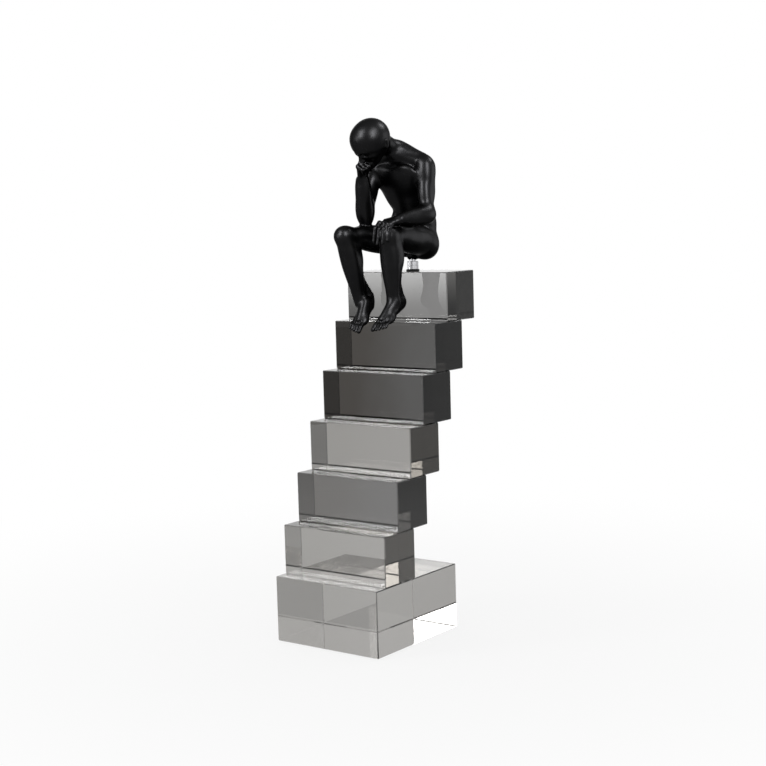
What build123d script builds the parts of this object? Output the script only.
from build123d import *
import math
import os

os.makedirs("parts", exist_ok=True)

# Driving dimensions, mm. X runs along the bars, Y to the back, Z up from the underside of the base.
block_width = 76.0
base_depth = 82.0
base_height = 40.0
bar_depth = 30.0
bar_height = 30.0
bar_count = 6
first_setback = 9.0
bar_setback = 14.0
edge_chamfer = 0.8

# Metal post under the seat of the figure, mm
washer_diameter = 8.4
washer_thickness = 0.8
post_diameter = 7.2
post_height = 5.2
post_setback = 18.6
post_groove = 0.3
spigot_diameter = 4.0
spigot_height = 7.0
bore_clearance = 0.1
bore_overrun = 0.6
lead_in = 0.4
boss_diameter = 7.6

# The figure, mm: every place and thickness of its body is a share of its stature.
stature = 178.0

# Angles of the bowed head, degrees
head_nod = 45.0
head_turn = 16.0
head_lean = 4.0
body_sides = 10
limb_sides = 8
digit_sides = 6

# Joints of the body as shares of the stature, measured from the middle of the seat.
# The right leg and arm are posed on their own, so each side has its own list.
hip_share = {"left": (0.048, 0.000, 0.066), "right": (-0.048, 0.000, 0.066)}
knee_share = {"left": (0.070, -0.232, 0.097), "right": (-0.107, -0.246, 0.095)}
ankle_share = {"left": (0.070, -0.214, -0.130), "right": (-0.095, -0.186, -0.129)}
heel_share = {"left": (0.074, -0.178, -0.128), "right": (-0.078, -0.146, -0.130)}
toe_share = {"left": (0.064, -0.300, -0.215), "right": (-0.082, -0.246, -0.224)}
shoulder_share = {"left": (0.101, -0.056, 0.330), "right": (-0.092, -0.090, 0.334)}
elbow_share = {"left": (0.132, -0.090, 0.178), "right": (-0.083, -0.158, 0.156)}
wrist_share = {"left": (0.100, -0.206, 0.160), "right": (-0.060, -0.190, 0.283)}
knuckle_share = {"left": (0.060, -0.236, 0.141), "right": (-0.041, -0.224, 0.340)}
finger_bend_share = {"left": (0.042, -0.260, 0.116), "right": (-0.016, -0.228, 0.326)}
finger_tip_share = {"left": (0.036, -0.267, 0.076), "right": (-0.024, -0.208, 0.312)}
palm_side_share = {"left": (0.014, 0.000, 0.000), "right": (0.000, 0.014, 0.000)}
thumb_bend_share = {"left": (0.062, -0.204, 0.148), "right": (-0.034, -0.186, 0.332)}
thumb_tip_share = {"left": (0.042, -0.222, 0.134), "right": (-0.028, -0.188, 0.354)}
nape_share = (-0.002, -0.068, 0.374)
skull_base_share = (-0.014, -0.168, 0.424)
head_share = (-0.017, -0.203, 0.414)

# Torso from the seat to the collar: back, up, half width, half depth to the front and to the back
torso_shares = (
    (0.006, 0.010, 0.045, 0.030, 0.036),
    (0.009, 0.030, 0.079, 0.050, 0.056),
    (0.012, 0.068, 0.091, 0.053, 0.064),
    (0.017, 0.112, 0.083, 0.053, 0.053),
    (0.020, 0.152, 0.072, 0.053, 0.044),
    (0.011, 0.191, 0.073, 0.056, 0.045),
    (-0.011, 0.242, 0.084, 0.062, 0.053),
    (-0.037, 0.292, 0.094, 0.065, 0.060),
    (-0.053, 0.331, 0.090, 0.056, 0.059),
    (-0.067, 0.362, 0.070, 0.042, 0.052),
    (-0.079, 0.393, 0.042, 0.037, 0.034),
)

# Limbs: share of the way along, then half width and the two half depths as shares of the stature
neck_shares = (
    (0.00, 0.052, 0.042, 0.044),
    (0.40, 0.040, 0.037, 0.038),
    (0.75, 0.036, 0.035, 0.036),
    (1.15, 0.033, 0.032, 0.032),
)
thigh_shares = (
    (0.00, 0.054, 0.050, 0.050),
    (0.27, 0.053, 0.052, 0.050),
    (0.55, 0.047, 0.046, 0.044),
    (0.78, 0.040, 0.040, 0.039),
    (0.95, 0.037, 0.037, 0.035),
    (1.07, 0.030, 0.030, 0.027),
    (1.13, 0.014, 0.014, 0.012),
)
shin_shares = (
    (-0.08, 0.030, 0.030, 0.026),
    (0.08, 0.037, 0.037, 0.037),
    (0.32, 0.039, 0.042, 0.036),
    (0.60, 0.035, 0.036, 0.032),
    (0.82, 0.028, 0.027, 0.026),
    (1.05, 0.024, 0.024, 0.023),
)
foot_shares = (
    (-0.02, 0.008, 0.008, 0.008),
    (0.06, 0.020, 0.021, 0.021),
    (0.24, 0.023, 0.025, 0.030),
    (0.45, 0.024, 0.019, 0.026),
    (0.65, 0.031, 0.015, 0.018),
    (0.80, 0.032, 0.011, 0.012),
    (0.85, 0.028, 0.008, 0.009),
)
upper_arm_shares = (
    (-0.13, 0.022, 0.022, 0.022),
    (0.02, 0.036, 0.034, 0.036),
    (0.18, 0.034, 0.033, 0.034),
    (0.45, 0.030, 0.031, 0.030),
    (0.75, 0.027, 0.027, 0.027),
    (0.95, 0.025, 0.025, 0.024),
    (1.08, 0.013, 0.013, 0.013),
)
forearm_shares = (
    (-0.10, 0.016, 0.016, 0.016),
    (0.04, 0.026, 0.025, 0.026),
    (0.25, 0.032, 0.030, 0.031),
    (0.50, 0.029, 0.027, 0.028),
    (0.80, 0.022, 0.020, 0.020),
    (1.00, 0.019, 0.016, 0.016),
    (1.12, 0.010, 0.009, 0.009),
)
yoke_shares = (
    (-0.12, 0.012, 0.012, 0.012),
    (-0.02, 0.034, 0.030, 0.032),
    (0.22, 0.047, 0.036, 0.040),
    (0.50, 0.050, 0.038, 0.042),
    (0.78, 0.047, 0.036, 0.040),
    (1.02, 0.034, 0.030, 0.032),
    (1.12, 0.012, 0.012, 0.012),
)
palm_shares = (
    (-0.30, 0.009, 0.008, 0.008),
    (0.00, 0.016, 0.014, 0.014),
    (0.30, 0.022, 0.015, 0.015),
    (0.65, 0.025, 0.013, 0.013),
    (1.00, 0.026, 0.010, 0.010),
    (1.08, 0.020, 0.006, 0.006),
)
finger_shares = (0.0062, 0.0070, 0.0068, 0.0060, 0.0026)
finger_place_shares = (-1.5, -0.5, 0.5, 1.5)
finger_overrun_share = 0.25

# Head in its own frame: up, forward, half width, half depth to the face and to the back
head_shares = (
    (-0.076, 0.036, 0.016, 0.017, 0.016),
    (-0.055, 0.024, 0.036, 0.036, 0.038),
    (-0.022, 0.006, 0.054, 0.056, 0.060),
    (0.008, 0.000, 0.064, 0.066, 0.073),
    (0.036, 0.000, 0.060, 0.061, 0.068),
    (0.060, 0.000, 0.042, 0.043, 0.048),
    (0.074, 0.000, 0.014, 0.014, 0.016),
)
nose_shares = (
    (0.012, 0.056, 0.006, 0.008, 0.010),
    (-0.006, 0.058, 0.008, 0.011, 0.010),
    (-0.019, 0.062, 0.011, 0.013, 0.010),
    (-0.026, 0.058, 0.009, 0.009, 0.008),
)
ear_shares = (
    (-0.020, -0.004, 0.004, 0.005, 0.005),
    (-0.006, -0.005, 0.006, 0.010, 0.010),
    (0.010, -0.007, 0.007, 0.012, 0.012),
    (0.020, -0.008, 0.003, 0.004, 0.004),
)
ear_reach_share = 0.061

# Toes, from the big one outward: place across the foot, length and half thickness
toe_shares = (
    (-0.0200, 0.044, 0.0084),
    (-0.0065, 0.043, 0.0058),
    (0.0050, 0.040, 0.0055),
    (0.0160, 0.035, 0.0053),
    (0.0262, 0.030, 0.0051),
)
toe_root_share = 0.75
toe_form_shares = ((-0.10, 0.9), (0.45, 1.0), (0.85, 0.9), (1.10, 0.35))

# Worked out from the sizes above
top_setback = first_setback + bar_setback * (bar_count - 1)
top_front = top_setback - base_depth / 2
top_height = base_height + bar_height * bar_count
post_back = top_front + post_setback
seat_height = top_height + washer_thickness + post_height
seat = Vector(0, post_back, seat_height)
across = Vector(1, 0, 0)


def block(depth, height, front, floor):
    """A clear block with bevelled edges, its front face and underside where they are given."""
    body = Box(block_width, depth, height, align=(Align.CENTER, Align.MIN, Align.MIN))
    body = chamfer(body.edges(), edge_chamfer)
    return Pos(0, front, floor) * body


def spot(share):
    """A place on the body, from its shares of the stature."""
    return seat + Vector(*share) * stature


def ring(place, side, front, sides, half_side, half_front, half_back):
    """A many-sided cross-section that may be deeper to the front than to the back."""
    points = []
    for step in range(sides):
        turn = 2 * math.pi * step / sides
        reach = half_front if math.sin(turn) >= 0 else half_back
        points.append(place + side * (half_side * math.cos(turn)) + front * (reach * math.sin(turn)))
    return make_face(Polyline(*points, close=True))


def path_loft(places, shares, hint, sides):
    """A loft along places, square to their line; hint points along the width of its sections."""
    rings = []
    for step, halves in enumerate(shares):
        before = places[max(step - 1, 0)]
        after = places[min(step + 1, len(places) - 1)]
        ahead = (after - before).normalized()
        side = (hint - ahead * hint.dot(ahead)).normalized()
        sizes = [half * stature for half in halves]
        rings.append(ring(places[step], side, side.cross(ahead), sides, *sizes))
    return loft(rings, ruled=True)


def limb(start, end, shares, hint, sides=limb_sides):
    """A straight limb from start to end."""
    places = [start + (end - start) * along for along, *_ in shares]
    return path_loft(places, [halves for _, *halves in shares], hint, sides)


def torso():
    """The trunk, its sections square to the bent line of the back."""
    places = [spot((0, back, up)) for back, up, *_ in torso_shares]
    return path_loft(places, [halves for _, _, *halves in torso_shares], across, body_sides)


def finger(root, bend, tip, hint):
    """A finger or thumb with one bend and a rounded tip."""
    start = root - (bend - root) * finger_overrun_share
    end = tip + (tip - bend) * finger_overrun_share
    shares = [(half, half, half) for half in finger_shares]
    return path_loft([start, root, bend, tip, end], shares, hint, digit_sides)


def head_frame():
    """The plane of the bowed head: x to its left, y to its back, z to its crown."""
    return Plane(origin=spot(head_share), x_dir=(1, 0, 0), z_dir=(0, 0, 1)).rotated(
        (head_nod, head_lean, -head_turn)
    )


def head_piece(shares, sides, reach=0):
    """A feature of the head lofted upward; reach moves it sideways."""
    frame = head_frame()
    rings = []
    for up, forward, *halves in shares:
        place = frame.origin + frame.z_dir * (up * stature) - frame.y_dir * (forward * stature)
        place = place + frame.x_dir * (reach * stature)
        sizes = [half * stature for half in halves]
        rings.append(ring(place, frame.x_dir, frame.y_dir * -1, sides, *sizes))
    return loft(rings)


def leg(side):
    """Thigh and lower leg of one side."""
    hip, knee, ankle = spot(hip_share[side]), spot(knee_share[side]), spot(ankle_share[side])
    return [limb(hip, knee, thigh_shares, across), limb(knee, ankle, shin_shares, across)]


def foot(side, outward):
    """One foot with its five toes, hanging toe down."""
    heel, tip = spot(heel_share[side]), spot(toe_share[side])
    pieces = [limb(heel, tip, foot_shares, across)]
    ahead = (tip - heel).normalized()
    width = (across - ahead * across.dot(ahead)).normalized() * outward
    root = heel + (tip - heel) * toe_root_share
    for place, length, half in toe_shares:
        start = root + width * (place * stature)
        end = start + ahead * (length * stature)
        shares = [(along, *(3 * (half * thick,))) for along, thick in toe_form_shares]
        pieces.append(limb(start, end, shares, across, digit_sides))
    return pieces


def arm(side):
    """Upper arm and forearm of one side."""
    joints = [spot(table[side]) for table in (shoulder_share, elbow_share, wrist_share)]
    return [
        limb(joints[0], joints[1], upper_arm_shares, across),
        limb(joints[1], joints[2], forearm_shares, across),
    ]


def hand(side):
    """One hand: the palm, four bent fingers side by side and the thumb."""
    wrist, knuckle = spot(wrist_share[side]), spot(knuckle_share[side])
    bend, tip = spot(finger_bend_share[side]), spot(finger_tip_share[side])
    spread = Vector(*palm_side_share[side]) * stature
    pieces = [limb(wrist, knuckle, palm_shares, spread)]
    ahead = (knuckle - wrist).normalized()
    step = (spread - ahead * spread.dot(ahead)).normalized() * spread.length
    for place in finger_place_shares:
        pieces.append(finger(*(joint + step * place for joint in (knuckle, bend, tip)), step))
    root = wrist + (knuckle - wrist) / 2
    pieces.append(finger(root, spot(thumb_bend_share[side]), spot(thumb_tip_share[side]), step))
    return pieces


def figure():
    """The seated figure, one casting with a bored boss under the seat."""
    shoulders = [spot(shoulder_share[side]) for side in ("left", "right")]
    pieces = [limb(*shoulders, yoke_shares, Vector(0, 0, 1))]
    pieces.append(limb(spot(nape_share), spot(skull_base_share), neck_shares, across))
    pieces += [head_piece(head_shares, body_sides), head_piece(nose_shares, digit_sides)]
    for side, outward in (("left", 1), ("right", -1)):
        pieces += leg(side) + foot(side, outward) + arm(side) + hand(side)
        pieces.append(head_piece(ear_shares, digit_sides, ear_reach_share * outward))
    boss_height = torso_shares[2][1] * stature
    boss = Cylinder(boss_diameter / 2, boss_height, align=(Align.CENTER, Align.CENTER, Align.MIN))
    pieces.append(Pos(*seat) * boss)
    body = torso().fuse(*pieces)
    bore_radius = spigot_diameter / 2 + bore_clearance
    bore_depth = spigot_height + bore_overrun
    bore = Cylinder(bore_radius, bore_depth, align=(Align.CENTER, Align.CENTER, Align.MIN))
    return body - Pos(*seat) * bore


def seat_post():
    """The turned metal post with a groove round its middle and a spigot on top."""
    radius, spigot_radius = post_diameter / 2, spigot_diameter / 2
    foot_level = top_height + washer_thickness
    spigot_top = seat_height + spigot_height
    middle = foot_level + post_height / 2
    outline = Polyline(
        (0, foot_level),
        (radius - lead_in, foot_level),
        (radius, foot_level + lead_in),
        (radius, middle - post_groove),
        (radius - post_groove, middle),
        (radius, middle + post_groove),
        (radius, seat_height),
        (spigot_radius, seat_height),
        (spigot_radius, spigot_top - lead_in),
        (spigot_radius - lead_in, spigot_top),
        (0, spigot_top),
        close=True,
    )
    return Pos(0, post_back, 0) * revolve(Plane.XZ * make_face(outline), Axis.Z)


def seat_washer():
    """The thin dark pad that beds the post on the glass."""
    pad = Cylinder(washer_diameter / 2, washer_thickness, align=(Align.CENTER, Align.CENTER, Align.MIN))
    return Pos(0, post_back, top_height) * pad


shapes = {"crystal_base": block(base_depth, base_height, -base_depth / 2, 0)}
for level in range(bar_count):
    bar_front = first_setback + bar_setback * level - base_depth / 2
    bar_floor = base_height + bar_height * level
    shapes[f"crystal_step_{level + 1}"] = block(bar_depth, bar_height, bar_front, bar_floor)
shapes["seat_washer"] = seat_washer()
shapes["seat_post"] = seat_post()
shapes["figure"] = figure()

for name, shape in shapes.items():
    export_step(shape, f"parts/{name}.step")
